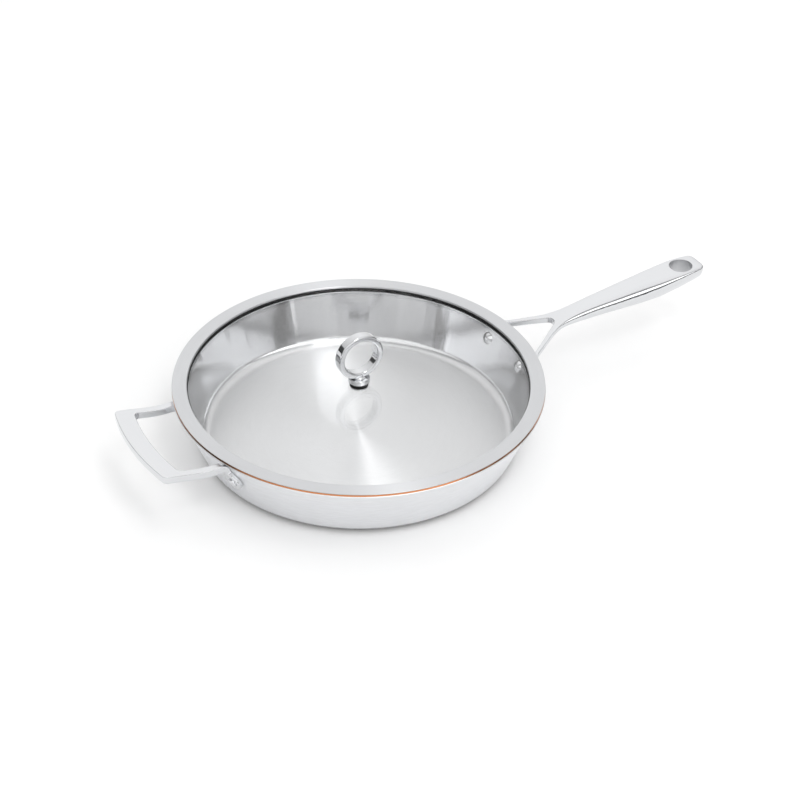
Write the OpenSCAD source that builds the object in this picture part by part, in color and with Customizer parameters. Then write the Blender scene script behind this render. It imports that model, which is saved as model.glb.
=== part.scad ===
/* [Pan] */
// Diameter over the rim
pan_d = 300; // [270:1:330]
// Height from the base to the top of the rim
pan_h = 54.1; // [50:0.1:62]
// Lean of the wall from upright, in degrees
wall_lean = 22; // [16:1:26]
// Outer radius of the corner between base and wall
corner_r = 12; // [8:0.5:15]
// Radius of the bend under the flared lip
lip_r = 2; // [1.6:0.1:2.6]
// Flat width of the lip outside its bend
lip_flat = 0.5; // [0.4:0.1:1]
// Thickness of the outer steel skin
skin_t = 0.6; // [0.4:0.1:0.9]
// Thickness of the copper core
core_t = 1.2; // [0.8:0.1:1.6]
// Thickness of the inner steel skin
liner_t = 0.4; // [0.3:0.1:0.8]

/* [Rivets] */
// Height of the rivets above the base
rivet_z = 33.5; // [32:0.5:36]
// Diameter of a rivet's shank
rivet_d = 5; // [4:0.1:6]
// Diameter of the domed head inside the pan
rivet_head_d = 10.5; // [9:0.1:12]
// Height of the domed head inside the pan
rivet_head_h = 2.2; // [1.6:0.1:3]
// Diameter of the closed head on the handle's foot
rivet_tail_d = 8; // [7:0.1:9]
// Height of the closed head on the handle's foot
rivet_tail_h = 1.4; // [1:0.1:2]

/* [Handle feet] */
// Width of the foot that lies on the wall
foot_w = 16; // [14:0.5:18]
// Thickness of that foot
foot_t = 3.6; // [3:0.1:4.5]
// Height over the rivet at which the foot is as narrow as its leg
foot_neck = 10; // [9:0.5:11]
// Radius over the top of the bend from leg to foot
foot_bend_r = 6.5; // [5.5:0.1:7]
// Radius under the bend from leg to foot
foot_fillet_r = 2; // [1.5:0.1:3]

/* [Long handle] */
// Reach of the handle's tip past the rim
handle_len = 184; // [170:1:220]
// Height of the top face at the pan
handle_start_z = 46.8; // [45.8:0.1:48]
// Height of the top face at the tip
handle_end_z = 69.9; // [60:0.1:80]
// Greatest width of the grip
grip_w = 29; // [26:0.5:32]
// Greatest depth of the grip
grip_h = 18.6; // [16:0.1:20]
// Greatest radius of the grip's rounded shoulders
shoulder_r = 7.3; // [5:0.1:8]
// Depth of the fork's legs
fork_h = 5; // [4.4:0.1:5.4]
// Distance between the outer sides of the fork's legs at the pan
fork_w = 58.8; // [56:0.2:61]
// Width of a fork leg at the pan
fork_leg_w = 4.4; // [4:0.1:5]
// Distance past the rim at which the fork's legs bend towards the pan
fork_start = 2; // [1:0.5:4]
// Distance past the rim at which the fork closes
fork_len = 35.7; // [33:0.1:39]
// Radius inside the fork where it closes
fork_apex_r = 6; // [5:0.1:7]
// Distance of each rivet inwards from the middle of its fork leg
fork_rivet_in = 3.2; // [2:0.1:4.5]
// Turn of the long handle's feet on the wall, towards each other at their lower ends
fork_foot_tilt = 11; // [8:0.5:14]
// Radius of the hanging hole
hang_r = 9.8; // [8:0.1:10.5]
// Distance from the handle's tip to the middle of the hanging hole
hang_inset = 18.2; // [17.5:0.1:22]
// Radius of the tip's corners seen from above
tip_r = 5; // [4:0.1:6]
// Radius of the small rounded edges of fork and tip
edge_r = 0.8; // [0.5:0.1:1]

/* [Helper handle] */
// Reach of the bar's outer edge past the rim
helper_len = 47.2; // [40:0.2:56]
// Width of the bar
helper_bar_w = 15.2; // [13:0.2:17]
// Distance between the outer sides of the legs
helper_w = 96.4; // [94:0.2:98]
// Width of a leg
helper_leg_w = 6.4; // [5.6:0.1:7]
// Thickness of legs and bar
helper_t = 6.2; // [5.4:0.1:7]
// Height of the top face at the pan
helper_start_z = 50.3; // [49.6:0.1:50.4]
// Height of the top face at the bar
helper_end_z = 57.1; // [54:0.1:62]
// Radius of the bar's outer corners
helper_corner_r = 4; // [3:0.1:6]
// Radius inside the bar's corners
helper_fillet_r = 5; // [3:0.1:6]
// Distance of each rivet outwards from the middle of its leg
helper_rivet_out = 1.5; // [0.5:0.1:2.5]
// Turn of the helper handle's feet on the wall, away from each other at their lower ends
helper_foot_tilt = 10; // [7:0.5:13]

/* [Lid] */
// Gap from the band's outer edge to the pan's edge
band_inset = 0.4; // [0.2:0.1:0.4]
// Width of the band's flat top
band_w = 12; // [10:0.2:14]
// Thickness of the band's steel
band_t = 0.6; // [0.4:0.1:0.8]
// Radius of the band's rounded inner edge
band_edge_r = 1; // [0.9:0.1:1.2]
// Depth of the band's turned-down inner edge below its top
band_hem = 1.9; // [1.4:0.1:2.2]
// Overlap of the band over the glass
band_lap = 1.6; // [1.2:0.1:2.2]
// Thickness of the glass
glass_t = 4; // [3:0.1:5]
// Ground bevel on the glass edge
glass_bevel = 0.4; // [0.2:0.1:0.8]
// Thickness of the seal above the glass
seal_t = 1.2; // [0.8:0.1:1.4]
// Thickness of the seal round and under the glass
seal_side_t = 0.5; // [0.4:0.1:0.8]
// Width of seal that shows inside the band
seal_show = 0.7; // [0.4:0.1:1.2]

/* [Knob] */
// Outer diameter of the ring
ring_d = 39.5; // [36:0.5:44]
// Diameter of the finger hole
ring_hole_d = 29.6; // [26:0.2:31]
// Width of the ring along its axis
ring_w = 8.5; // [7:0.1:10]
// Radius of the ring's rounded edges
ring_edge_r = 1.4; // [1:0.1:2]
// Diameter of the knob's foot
knob_d = 17.6; // [16:0.2:20]
// Height of the knob's foot
knob_h = 4.6; // [3.8:0.1:5.4]
// Rounding of the foot's edges
knob_edge_r = 0.8; // [0.5:0.1:1.2]
// Radius of the neck between foot and ring
neck_r = 4.4; // [4.2:0.1:5]
// Radius of the hollow curve that leads from foot to neck
neck_fillet_r = 2.2; // [1.6:0.1:2.4]
// Height of ring and neck that overlap
neck_h = 3; // [2.6:0.1:3.4]
// Diameter of the gasket above the glass
gasket_d = 16.4; // [15:0.2:17]
// Thickness of the gasket above the glass
gasket_t = 1.2; // [0.8:0.1:1.6]
// Diameter of the screw
screw_d = 5.8; // [5:0.1:6.2]
// Depth of the screw's thread inside the knob
screw_grip = 4.4; // [3.6:0.1:4.8]
// Diameter of the screw's head
screw_head_d = 10; // [9:0.1:11]
// Height of the screw's head
screw_head_h = 2.4; // [2:0.1:3]
// Clearance round the screw in glass, gaskets and washer
screw_gap = 0.8; // [0.5:0.1:1]
// Diameter of the washer and the gasket under the glass
washer_d = 15; // [13:0.2:16]
// Thickness of the washer
washer_t = 1.2; // [1:0.1:1.6]
// Thickness of the gasket under the glass
under_gasket_t = 1; // [0.8:0.1:1.4]

/* [Hidden] */
$fn = 96;
// Overrun of every cut past the face that it opens
overrun = 1;
// Clearance of a rivet's shank in its hole, and of a handle's foot on the wall
rivet_gap = 0.05;
foot_gap = 0.05;
// Clearance of the knob's thread round the screw
thread_gap = 0.05;
// Share of the screw head's height that is domed, and of the rivet tail's
dome_share = 0.75;
// Straight pieces in a quarter of a turned or lofted curve
arc_steps = 8;
belly_steps = 6;
shoulder_steps = 4;
// Rings of the long handle's body, and of its rounded tip
body_rings = 34;
tip_rings = 6;
// Rows of the curves on top of and under the helper handle
rise_steps = 16;

// Share of the rise from pan to tip at equal steps along the long handle
rise_shares = [0, 0.21, 0.435, 0.6, 0.715, 0.83, 0.91, 0.98, 1];
// Distance from the bend of the fork to the tip, as shares, for the tables below
place_shares = [0, 0.02, 0.14, 0.18, 0.21, 0.25, 0.3, 0.35, 0.44, 0.53, 0.64, 0.75, 0.86, 0.93, 1];
// Half width there: up to 1 a share of the grip's, and from 1 to 2 on from the grip's to the fork's
width_shares = [2, 1.82, 0.98, 0.78, 0.69, 0.65, 0.66, 0.69, 0.76, 0.85, 0.94, 0.99, 0.98, 0.91, 0.78];
// Depth there, from the fork's depth to the grip's
depth_shares = [0, 0, 0, 0.03, 0.08, 0.21, 0.36, 0.5, 0.63, 0.76, 0.92, 1, 0.85, 0.72, 0.55];
// Radius of the shoulders there, from a small edge to the greatest
shoulder_shares = [0, 0, 0, 0.1, 0.25, 0.45, 0.6, 0.66, 0.75, 0.86, 1, 0.79, 0.47, 0.3, 0.2];
// Roundness of the belly there, from a small edge to a full belly
belly_shares = [0, 0, 0.1, 0.25, 0.4, 0.6, 0.8, 0.9, 0.94, 0.94, 0.94, 0.94, 0.94, 0.94, 0.94];
// Share of the half width that a full belly's curve takes
belly_width_share = 0.74;

// Walls of the pan and the points of its profile
pan_r = pan_d / 2;
wall_t = skin_t + core_t + liner_t;
lip_c = [pan_r - lip_flat, pan_h - wall_t - lip_r];
wall_top = lip_c + lip_r * [-cos(wall_lean), sin(wall_lean)];
corner_c = [
    wall_top[0] - (corner_r + (wall_top[1] - corner_r) * sin(wall_lean)) / cos(wall_lean),
    corner_r
];

// Heights and radii of the lid's stack
band_r = pan_r - band_inset;
band_top = pan_h + band_t;
band_inner_r = band_r - band_w;
glass_top = band_top - band_hem - seal_t;
glass_bottom = glass_top - glass_t;
glass_r = band_inner_r + band_lap;
seal_r = glass_r + seal_side_t;
channel_r = seal_r + band_t;
gasket_top = glass_top + gasket_t;
ring_z = gasket_top + knob_h + ring_d / 2;
hole_r = screw_d / 2 + screw_gap;
under_gasket_bottom = glass_bottom - under_gasket_t;
washer_bottom = under_gasket_bottom - washer_t;

// Sizes of both handles that follow from the others
grip_r = grip_w / 2;
fork_r = fork_w / 2;
body_x = pan_r + fork_start;
tip_end = pan_r + handle_len;
body_len = tip_end - body_x;
fork_apex_c = pan_r + fork_len - fork_apex_r;
hang_x = tip_end - hang_inset;
fork_leg_y = fork_r - fork_leg_w / 2;
fork_rivet_a = rivet_angle(fork_leg_y - fork_rivet_in);
helper_reach = pan_r + helper_len;
helper_leg_y = (helper_w - helper_leg_w) / 2;
helper_rivet_a = rivet_angle(helper_leg_y + helper_rivet_out);

// Radius of the wall's outer face at height z
function wall_r(z) = wall_top[0] + (z - wall_top[1]) * tan(wall_lean);

// Angle about the pan's axis of a rivet that stands at a distance to the side of its handle's middle
function rivet_angle(side_y) = asin(side_y / wall_r(rivet_z));

// Points of an arc about c, from angle a0 to a1
function arc(c, r, a0, a1, steps = arc_steps) =
    [for (i = [0:steps]) c + r * [cos(a0 + (a1 - a0) * i / steps), sin(a0 + (a1 - a0) * i / steps)]];

function reversed(list) = [for (i = [len(list) - 1:-1:0]) list[i]];

// Value at t, from 0 to 1, on a smooth curve through equally spaced shares
function smooth(shares, t) =
    let (
        n = len(shares) - 1,
        i = max(0, min(n - 1, floor(t * n))),
        u = t * n - i,
        a = shares[max(0, i - 1)], b = shares[i], c = shares[i + 1], d = shares[min(n, i + 2)]
    )
    b + u * ((c - a) + u * ((2 * a - 5 * b + 4 * c - d) + u * (3 * b - a - 3 * c + d))) / 2;

// Gentle step from 0 to 1
function ease(t) = let (u = max(0, min(1, t))) u * u * (3 - 2 * u);

// Value of a table of shares at a place along the long handle's body
function along(shares, t) =
    lookup(t, [for (i = [0:len(place_shares) - 1]) [place_shares[i], shares[i]]]);

// Pan: three bonded skins, each drawn between two depths below the outer face
function side(depth) = concat(
    [[pan_r, pan_h - wall_t + depth]],
    arc(lip_c, lip_r + depth, 90, 180 - wall_lean),
    arc(corner_c, corner_r - depth, -wall_lean, -90),
    [[0, depth]]
);

module skin(depth0, depth1) {
    difference() {
        rotate_extrude($fn = 180) polygon(concat(side(depth0), reversed(side(depth1))));
        at_rivets() rivet_hole();
    }
}

// Places a child on the wall's outer face, with +Z out of the pan and +X down the wall
module on_wall(a) {
    rotate([0, 0, a])
        translate([wall_r(rivet_z), 0, rivet_z])
            rotate([0, 90 + wall_lean, 0]) children();
}

module at_long_handle_rivets() {
    for (a = [-fork_rivet_a, fork_rivet_a]) on_wall(a) children();
}

module at_helper_rivets() {
    for (a = [-helper_rivet_a, helper_rivet_a]) on_wall(180 + a) children();
}

module at_rivets() {
    at_long_handle_rivets() children();
    at_helper_rivets() children();
}

module rivet_hole() {
    translate([0, 0, -wall_t - overrun])
        cylinder(r = rivet_d / 2 + rivet_gap, h = wall_t + foot_t + 2 * overrun + foot_gap, $fn = 32);
}

// Rivet: domed head inside the pan, shank, and closed head on the foot
module rivet() {
    // The head's flat side clears the hollow wall by the wall's rise over the head's radius
    seat = wall_t + pow(rivet_head_d / 2, 2) / (2 * wall_r(rivet_z)) + rivet_gap;
    ball_r = (pow(rivet_head_d / 2, 2) + pow(rivet_head_h, 2)) / (2 * rivet_head_h);
    half_a = asin(rivet_head_d / 2 / ball_r);
    tail_z = foot_gap + foot_t;
    tail_edge = rivet_tail_h * dome_share;
    rotate_extrude($fn = 48) polygon(concat(
        arc([0, ball_r - seat - rivet_head_h], ball_r, -90, -90 + half_a),
        [[rivet_d / 2, -seat], [rivet_d / 2, tail_z], [rivet_tail_d / 2, tail_z]],
        arc([rivet_tail_d / 2 - tail_edge, tail_z + rivet_tail_h - tail_edge], tail_edge, 0, 90),
        [[0, tail_z + rivet_tail_h]]
    ));
}

// Foot: half section of leg end, bend and foot, turned about the pan's axis
function foot_section(top_z, leg_t, out_r) =
    let (
        slant = cos(wall_lean),
        bend_z = top_z - foot_bend_r,
        bend_c = [wall_r(bend_z) + (foot_gap + foot_bend_r) / slant, bend_z],
        under_z = top_z - leg_t - foot_fillet_r,
        under_c = [wall_r(under_z) + (foot_gap + foot_t + foot_fillet_r) / slant, under_z],
        end_z = rivet_z - foot_w
    )
    concat(
        [[out_r, top_z]],
        arc(bend_c, foot_bend_r, 90, 180 - wall_lean),
        [[wall_r(end_z) + foot_gap / slant, end_z], [wall_r(end_z) + (foot_gap + foot_t) / slant, end_z]],
        arc(under_c, foot_fillet_r, 180 - wall_lean, 90),
        [[out_r, top_z - leg_t]]
    );

// Outline of a foot on the wall: round below the rivet, drawn in to the leg above it
module foot_outline(leg_w) {
    circle(r = foot_w / 2);
    polygon(concat(
        [for (i = [0:arc_steps])
            [-foot_neck * i / arc_steps, foot_w / 2 + (leg_w - foot_w) / 2 * ease(i / arc_steps)]],
        [for (i = [arc_steps:-1:0])
            [-foot_neck * i / arc_steps, (foot_w - leg_w) / 2 * ease(i / arc_steps) - foot_w / 2]]
    ));
}

// One foot at angle a, turned by tilt, with its leg at leg_y reaching out to out_r
module foot(a, tilt, leg_y, leg_w, top_z, leg_t, out_r) {
    neck_z = rivet_z + foot_neck * cos(wall_lean) - overrun;
    intersection() {
        rotate_extrude($fn = 180) polygon(foot_section(top_z, leg_t, out_r));
        union() {
            on_wall(a)
                translate([0, 0, -overrun])
                    linear_extrude(foot_t + foot_bend_r + 2 * overrun)
                        rotate([0, 0, tilt]) foot_outline(leg_w);
            translate([0, leg_y - leg_w / 2, neck_z])
                cube([out_r, leg_w, top_z - neck_z + overrun]);
        }
    }
}

// Long handle: solid body between the sides of fork and grip, with the fork's opening cut out
function body_top(t) = handle_start_z + (handle_end_z - handle_start_z) * smooth(rise_shares, t);
function body_depth(t) = fork_h + (grip_h - fork_h) * along(depth_shares, t);
function body_half(t) =
    let (share = along(width_shares, t))
    share > 1 ? grip_r + (fork_r - grip_r) * (share - 1) : grip_r * share;

// Section of the handle at x: inset is how far the rounded tip draws it in
function body_ring(x, inset) =
    let (
        t = (x - body_x) / body_len,
        half = body_half(t) - inset,
        top = body_top(t) - inset * edge_r / tip_r,
        bottom = body_top(t) - body_depth(t) + inset,
        shoulder = edge_r + (shoulder_r - edge_r) * along(shoulder_shares, t),
        belly = along(belly_shares, t),
        curve = [edge_r + (belly_width_share * half - edge_r) * belly,
                 edge_r + (top - bottom - shoulder - edge_r) * belly],
        right = concat(
            arc([half - shoulder, top - shoulder], shoulder, 90, 0, shoulder_steps),
            [for (i = [0:belly_steps])
                [half - curve[0] + curve[0] * cos(90 * i / belly_steps),
                 bottom + curve[1] - curve[1] * sin(90 * i / belly_steps)]]
        )
    )
    concat([for (p = right) [x, p[0], p[1]]], [for (p = reversed(right)) [x, -p[0], p[1]]]);

module handle_body() {
    tip_x = tip_end - tip_r;
    rings = concat(
        [for (i = [0:body_rings - 1]) body_ring(body_x + (tip_x - body_x) * i / (body_rings - 1), 0)],
        [for (i = [1:tip_rings])
            body_ring(tip_x + tip_r * sin(90 * i / tip_rings), tip_r * (1 - cos(90 * i / tip_rings)))]
    );
    n = len(rings[0]);
    last = (len(rings) - 1) * n;
    polyhedron(
        points = [for (ring = rings) for (p = ring) p],
        faces = concat(
            [[for (k = [n - 1:-1:0]) k]],
            [[for (k = [0:n - 1]) last + k]],
            [for (i = [0:len(rings) - 2]) for (k = [0:n - 1])
                [i * n + k, i * n + (k + 1) % n, (i + 1) * n + (k + 1) % n, (i + 1) * n + k]]
        )
    );
}

// Opening between the fork's legs, seen from above
module fork_opening() {
    inner_y = fork_r - fork_leg_w;
    // Slope of the leg's inner side, which meets the round end as a tangent
    run = fork_apex_c - body_x;
    slope = atan2(inner_y, run) - asin(fork_apex_r / norm([run, inner_y]));
    translate([0, 0, handle_start_z - fork_h - overrun])
        linear_extrude(handle_end_z - handle_start_z + fork_h + 2 * overrun)
            polygon(concat(
                [[pan_r, inner_y], [body_x, inner_y]],
                reversed(arc([fork_apex_c, 0], fork_apex_r, slope - 90, 90 - slope, 2 * arc_steps)),
                [[body_x, -inner_y], [pan_r, -inner_y]]
            ));
}

module long_handle() {
    color("silver")
    difference() {
        union() {
            difference() {
                handle_body();
                fork_opening();
            }
            for (s = [-1, 1])
                foot(s * fork_rivet_a, -s * fork_foot_tilt, s * fork_leg_y, fork_leg_w,
                     handle_start_z, fork_h, norm([body_x + overrun, fork_r]));
        }
        at_long_handle_rivets() rivet_hole();
        translate([hang_x, 0, handle_end_z - grip_h - overrun])
            cylinder(r = hang_r, h = grip_h + 2 * overrun);
    }
}

// Helper handle: a bar round the pan on two legs, drawn from above and cut to its side view
module helper_outline(outer_r, half_w, round_r, start_x) {
    round_y = half_w - round_r;
    round_x = sqrt(pow(outer_r - round_r, 2) - pow(round_y, 2));
    far = outer_r / round_x;
    translate([-round_x, -half_w]) square([round_x - start_x, 2 * half_w]);
    for (s = [-1, 1]) translate([-round_x, s * round_y]) circle(r = round_r);
    intersection() {
        circle(r = outer_r, $fn = 180);
        polygon([[-start_x, start_x * round_y / round_x], [-start_x, -start_x * round_y / round_x],
                 [-far * round_x, -far * round_y], [-far * round_x, far * round_y]]);
    }
}

function helper_top(x) =
    helper_start_z + (helper_end_z - helper_start_z) * ease((x - pan_r) / (helper_reach - pan_r));

module helper_handle() {
    line = [for (i = [0:rise_steps]) pan_r + (helper_reach - pan_r) * i / rise_steps];
    color("silver")
    difference() {
        union() {
            intersection() {
                translate([0, 0, helper_start_z - helper_t - overrun])
                    linear_extrude(helper_end_z - helper_start_z + helper_t + 2 * overrun)
                        difference() {
                            helper_outline(helper_reach, helper_w / 2, helper_corner_r, pan_r);
                            helper_outline(helper_reach - helper_bar_w, helper_w / 2 - helper_leg_w,
                                           helper_fillet_r, pan_r - overrun);
                        }
                translate([0, helper_w / 2 + overrun, 0]) rotate([90, 0, 0])
                    linear_extrude(helper_w + 2 * overrun)
                        polygon(concat(
                            [for (x = line) [-x, helper_top(x)]],
                            [for (x = reversed(line)) [-x, helper_top(x) - helper_t]]
                        ));
            }
            for (s = [-1, 1])
                rotate([0, 0, 180])
                    foot(s * helper_rivet_a, s * helper_foot_tilt, s * helper_leg_y, helper_leg_w,
                         helper_start_z, helper_t, norm([pan_r + overrun, helper_w / 2]));
        }
        at_helper_rivets() rivet_hole();
    }
}

module outer_skin() color("lightgray") skin(0, skin_t);
module copper_core() color("peru") skin(skin_t, skin_t + core_t);
module inner_skin() color("gainsboro") skin(skin_t + core_t, wall_t);
module long_handle_rivets() color("silver") at_long_handle_rivets() rivet();
module helper_handle_rivets() color("silver") at_helper_rivets() rivet();

// Lid: a rolled steel band holds the glass in a soft seal and lies flat on the rim
module lid_band() {
    crimp_top = glass_bottom - seal_side_t;
    crimp_bottom = crimp_top - band_t;
    hem_z = band_top - band_hem;
    hem_r = band_inner_r + band_t;
    color("gainsboro")
    rotate_extrude($fn = 180) polygon(concat(
        [[channel_r, pan_h], [band_r, pan_h], [band_r, band_top]],
        arc([band_inner_r + band_edge_r, band_top - band_edge_r], band_edge_r, 90, 180),
        [[band_inner_r, hem_z], [hem_r, hem_z], [hem_r, pan_h], [seal_r, pan_h]],
        [[seal_r, crimp_top], [band_inner_r, crimp_top], [band_inner_r, crimp_bottom]],
        [[channel_r, crimp_bottom]]
    ));
}

module lid_seal() {
    hem_z = glass_top + seal_t;
    color("black")
    rotate_extrude($fn = 180) polygon([
        [band_inner_r - seal_show, glass_top], [band_inner_r - seal_show, hem_z], [seal_r, hem_z],
        [seal_r, glass_bottom - seal_side_t], [band_inner_r, glass_bottom - seal_side_t],
        [band_inner_r, glass_bottom], [glass_r, glass_bottom], [glass_r, glass_top]
    ]);
}

module lid_glass() {
    color("lightcyan", 0.4)
    rotate_extrude($fn = 180) polygon([
        [hole_r, glass_bottom], [glass_r - glass_bevel, glass_bottom], [glass_r, glass_bottom + glass_bevel],
        [glass_r, glass_top - glass_bevel], [glass_r - glass_bevel, glass_top], [hole_r, glass_top]
    ]);
}

// Knob: an upright finger ring on a round foot, cast in one
module ring_section() {
    wide = (ring_d - ring_hole_d) / 2;
    translate([ring_hole_d / 2, 0]) {
        translate([0, ring_edge_r - ring_w / 2]) square([wide, ring_w - 2 * ring_edge_r]);
        translate([ring_edge_r, -ring_w / 2]) square([wide - 2 * ring_edge_r, ring_w]);
        for (x = [ring_edge_r, wide - ring_edge_r], y = [-1, 1])
            translate([x, y * (ring_w / 2 - ring_edge_r)]) circle(r = ring_edge_r, $fn = 32);
    }
}

module knob() {
    foot_r = knob_d / 2;
    foot_top = gasket_top + knob_h;
    color("silver")
    difference() {
        union() {
            translate([0, 0, ring_z]) rotate([90, 0, 0]) rotate_extrude() ring_section();
            rotate_extrude(convexity = 4) polygon(concat(
                [[0, gasket_top]],
                arc([foot_r - knob_edge_r, gasket_top + knob_edge_r], knob_edge_r, -90, 0),
                arc([foot_r - knob_edge_r, foot_top - knob_edge_r], knob_edge_r, 0, 90),
                arc([neck_r + neck_fillet_r, foot_top + neck_fillet_r], neck_fillet_r, -90, -180),
                [[neck_r, foot_top + neck_h], [0, foot_top + neck_h]]
            ));
        }
        translate([0, 0, gasket_top - overrun])
            cylinder(r = screw_d / 2 + thread_gap, h = screw_grip + thread_gap + overrun);
    }
}

// Flat ring round the screw, from z0 to z1
module screw_disc(d, z0, z1) {
    rotate_extrude() translate([hole_r, z0]) square([d / 2 - hole_r, z1 - z0]);
}

module knob_gasket() color("black") screw_disc(gasket_d, glass_top, gasket_top);
module under_gasket() color("black") screw_disc(washer_d, under_gasket_bottom, glass_bottom);
module knob_washer() color("silver") screw_disc(washer_d, washer_bottom, under_gasket_bottom);

module knob_screw() {
    head_r = screw_head_d / 2;
    edge = screw_head_h * dome_share;
    color("silver")
    rotate_extrude() polygon(concat(
        [[0, washer_bottom - screw_head_h]],
        arc([head_r - edge, washer_bottom - screw_head_h + edge], edge, -90, 0),
        [[head_r, washer_bottom], [screw_d / 2, washer_bottom],
         [screw_d / 2, gasket_top + screw_grip], [0, gasket_top + screw_grip]]
    ));
}

outer_skin();
copper_core();
inner_skin();
long_handle();
long_handle_rivets();
helper_handle();
helper_handle_rivets();
lid_band();
lid_seal();
lid_glass();
knob();
knob_gasket();
under_gasket();
knob_washer();
knob_screw();
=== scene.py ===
import math

import bpy
from mathutils import Matrix, Vector


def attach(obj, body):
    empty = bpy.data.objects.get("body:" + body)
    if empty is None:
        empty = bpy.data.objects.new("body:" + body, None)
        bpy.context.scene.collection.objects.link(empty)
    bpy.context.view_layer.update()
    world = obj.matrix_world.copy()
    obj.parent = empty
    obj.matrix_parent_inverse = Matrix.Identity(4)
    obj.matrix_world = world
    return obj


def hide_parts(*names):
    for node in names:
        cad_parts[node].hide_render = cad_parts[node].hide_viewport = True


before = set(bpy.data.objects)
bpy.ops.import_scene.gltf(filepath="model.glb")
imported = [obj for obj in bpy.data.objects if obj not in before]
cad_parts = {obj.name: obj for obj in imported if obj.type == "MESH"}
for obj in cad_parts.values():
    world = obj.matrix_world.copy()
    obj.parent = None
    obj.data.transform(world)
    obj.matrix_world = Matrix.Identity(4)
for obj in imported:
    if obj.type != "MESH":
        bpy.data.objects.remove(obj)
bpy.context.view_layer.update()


# Studio: a sheet of matt white paper for a floor, and the camera of a product photograph, high up
# with a long lens. Round them is a room of soft light and dark flats, which the steel mirrors, and
# two weak softboxes. None of it is part of the pan.
def linear(hex_colour):
    """An sRGB hex colour as the linear colour, with alpha, that a shader takes."""
    parts = [int(hex_colour[i:i + 2], 16) / 255 for i in (1, 3, 5)]
    return (*[c / 12.92 if c <= 0.04045 else ((c + 0.055) / 1.055) ** 2.4 for c in parts], 1)


def add(tree, kind, links=None, **settings):
    """Adds one node with its settings, and fills or links its input sockets, by name or by number.
    A mix has its share at 0, and its two values at 2 and 3 or its two colours at 6 and 7."""
    node = tree.nodes.new("ShaderNode" + kind)
    for name, value in settings.items():
        setattr(node, name, value)
    for socket, value in (links or {}).items():
        if isinstance(value, bpy.types.NodeSocket):
            tree.links.new(value, node.inputs[socket])
        else:
            node.inputs[socket].default_value = value
    return node


def blank(data):
    """Empties a material's or world's node tree and returns it with its output node."""
    data.use_nodes = True
    data.node_tree.nodes.clear()
    kind = "OutputWorld" if isinstance(data, bpy.types.World) else "OutputMaterial"
    return data.node_tree, data.node_tree.nodes.new("ShaderNode" + kind)


CAMERA_PLACE = (-0.6313, -1.1508, 0.9801)
CAMERA_TURN = (54.2135, -1.0141, -29.4691)
CAMERA_LENS = 90

bpy.ops.object.select_all(action="DESELECT")
camera = bpy.data.objects.new("camera", bpy.data.cameras.new("camera"))
bpy.context.scene.collection.objects.link(camera)
camera.location = CAMERA_PLACE
camera.rotation_euler = [math.radians(a) for a in CAMERA_TURN]
camera.data.lens = CAMERA_LENS
bpy.context.scene.camera = camera
bpy.context.scene.view_settings.view_transform = "Standard"

# The paper is matt and keeps the pan's shadow. A weak glow of its own, for what the camera sees
# directly, in metal or through glass, keeps it white. The glow lights nothing, so it isn't sampled.
FLOOR_SIDE = 12
FLOOR_WHITE = "#FAFAFA"
FLOOR_GLOW = 0.07

bpy.ops.mesh.primitive_plane_add(size=FLOOR_SIDE)
floor = bpy.context.object
floor.name = "floor"
paper = bpy.data.materials.new("matt_white_paper")
paper.cycles.emission_sampling = "NONE"
tree, out = blank(paper)
matt = add(tree, "BsdfDiffuse", {"Color": linear(FLOOR_WHITE)})
rays = add(tree, "LightPath").outputs
seen = add(tree, "Math", {0: rays["Is Camera Ray"], 1: rays["Is Glossy Ray"]}, operation="MAXIMUM")
seen = add(tree, "Math", {0: seen.outputs[0], 1: rays["Is Transmission Ray"]}, operation="MAXIMUM")
glow = add(tree, "Math", {0: seen.outputs[0], 1: FLOOR_GLOW}, operation="MULTIPLY")
glow = add(tree, "Emission", {"Strength": glow.outputs[0]})
both = add(tree, "AddShader", {0: matt.outputs[0], 1: glow.outputs[0]})
tree.links.new(both.outputs[0], out.inputs["Surface"])
floor.data.materials.append(paper)

# The room's light in the upright plane through pan and camera, by degrees from the horizon behind,
# over the top, to the horizon in front. A dark gap between two bright parts of the ceiling gives
# rounded edges a thin dark line.
VIEW_AZIMUTH = math.radians(-30.2)
TO_CAMERA = (math.sin(VIEW_AZIMUTH), -math.cos(VIEW_AZIMUTH), 0)
TO_RIGHT = (math.cos(VIEW_AZIMUTH), math.sin(VIEW_AZIMUTH), 0)
ROOM = [(0, 1.0), (20, 1.24), (45, 1.38), (62, 1.45), (80, 1.5), (94, 1.45), (102, 0.28), (114, 0.28),
        (122, 1.6), (150, 1.55), (165, 1.05), (180, 0.85)]
# The share of that light all round, by degrees from the camera to its right, and straight overhead
SIDES = [(-180, 1.0), (-125, 0.6), (-90, 0.4), (-50, 0.75), (0, 1.0), (45, 1.1), (56, 1.6), (76, 1.6),
         (88, 0.6), (110, 0.45), (140, 0.6), (180, 1.0)]
OVERHEAD = 0.76
# White, grey and black flats that stand close together round the table, by the same degrees, at
# which each begins. The narrow white one and the black one next to it draw the lines along the long
# handle's side. As sines of the angle above the horizon: where they end, and how softly.
FLATS = [(-180, 0.9), (-135, 0.06), (-70, 0.4), (-41, 0.8), (-23, 0.58), (15, 0.82), (43, 1.6),
         (46, 0.05), (75, 0.3), (100, 0.12), (145, 0.4), (165, 0.9), (180, 0.9)]
FLATS_TOP, FLATS_FADE = 0.3, 0.05


def fill_ramp(ramp, stops, start, end):
    """Sets a colour ramp to grey levels at degrees from start to end."""
    for degrees, _ in stops[1:-1]:
        ramp.elements.new((degrees - start) / (end - start))
    for element, (degrees, light) in zip(ramp.elements, stops):
        element.position = (degrees - start) / (end - start)
        element.color = (light, light, light, 1)


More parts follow.
